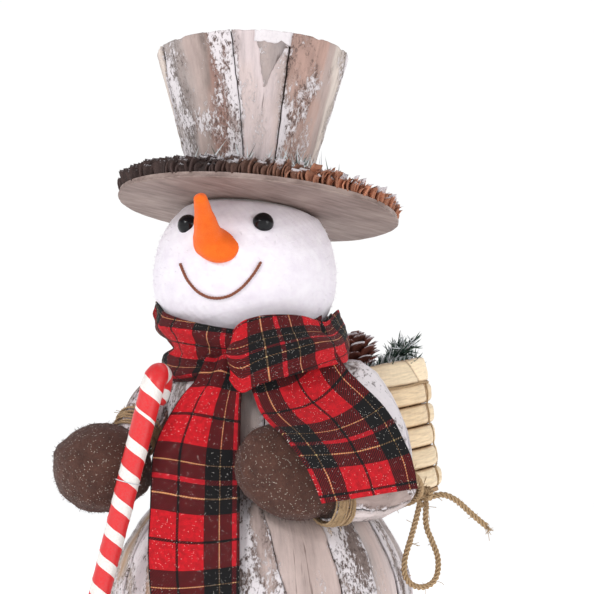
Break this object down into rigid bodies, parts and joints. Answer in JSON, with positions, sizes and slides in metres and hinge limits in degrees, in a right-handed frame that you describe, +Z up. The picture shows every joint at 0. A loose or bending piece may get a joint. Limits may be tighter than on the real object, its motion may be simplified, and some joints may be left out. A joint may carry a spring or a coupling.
{
  "type": "snowman figure",
  "caption": "Standing snowman figure of bark-clad balls with a top hat, tartan scarf, mittens, candy cane and back basket.",
  "frame": {"origin": "middle of the base disc's underside, where the figure stands", "axes": "+Z up through the balls, the face looks along -Y, +X to the figure's left"},
  "size_m": [0.2875, 0.2905, 0.506],
  "materials": {
    "board": "matt pressed board",
    "dowel_wood": "plain turned",
    "foam": "moulded beads",
    "bark": "rough, whitewashed",
    "veneer": "smooth, whitewashed",
    "white_fleece": "soft nap",
    "black_gloss": "polished",
    "orange_felt": "felt",
    "brown_cord": "twisted cord",
    "tartan": "brushed flannel with glitter",
    "brown_felt": "felt with glitter",
    "jute": "rough twine",
    "clear_thread": "clear",
    "cane_stripes": "smooth, red and white stripes",
    "rush": "plaited rush",
    "pine_cone_scales": "dry scales with frosted tips",
    "greenery": "frosted needles"
  },
  "bodies": {
    "root": {"base_disc": "board", "core_dowel": "dowel_wood", "lower_body_core": "foam", "upper_body_core": "foam", "lower_body_bark": "bark", "upper_body_bark": "bark", "left_upper_arm": "foam", "left_forearm": "foam", "right_arm": "foam", "left_upper_arm_bark": "bark", "left_forearm_bark": "bark", "right_arm_bark": "bark", "head_core": "foam", "head_cover": "white_fleece", "left_eye": "black_gloss", "right_eye": "black_gloss", "nose": "orange_felt", "mouth": "brown_cord", "hat_brim": "board", "brim_veneer": "veneer", "hat_crown_core": "board", "hat_top": "veneer", "crown_bark": "bark", "hat_greenery": "greenery", "scarf_wrap": "tartan", "scarf_front_tail": "tartan", "scarf_side_tail": "tartan", "left_mitten": "brown_felt", "right_mitten": "brown_felt", "left_cuff": "jute", "right_cuff": "jute", "cane_thread": "clear_thread", "elbow_cord": "jute", "jute_knot": "jute", "jute_loop": "jute", "jute_tail": "jute", "neck_eye": "jute", "cone_scale_strip_1": "pine_cone_scales", "cone_scale_strip_2": "pine_cone_scales", "cone_scale_strip_3": "pine_cone_scales", "cone_scale_strip_4": "pine_cone_scales", "cone_scale_strip_5": "pine_cone_scales", "cone_scale_strip_6": "pine_cone_scales"},
    "cane": {"candy_cane": "cane_stripes"},
    "basket": {"basket_base": "rush", "basket_stakes": "rush", "basket_weave_row_1": "rush", "basket_weave_row_2": "rush", "basket_weave_row_3": "rush", "basket_weave_row_4": "rush", "basket_weave_row_5": "rush", "basket_rim": "rush", "foam_block": "foam", "pine_cone": "pine_cone_scales", "pine_sprigs": "greenery", "basket_cord": "jute", "basket_eye": "jute"}
  },
  "joints": [
    {"name": "cane_rock", "type": "hinge", "parent": "root", "child": "cane", "pos_m": [-0.06261, -0.10788, 0.1934], "axis": [-0.2588, 0.9659, 0], "range_deg": [-6, 2]},
    {"name": "basket_swing", "type": "hinge", "parent": "root", "child": "basket", "pos_m": [0.02372, 0.06758, 0.27277], "axis": [0.8984, -0.4392, 0], "range_deg": [0, 8]}
  ]
}
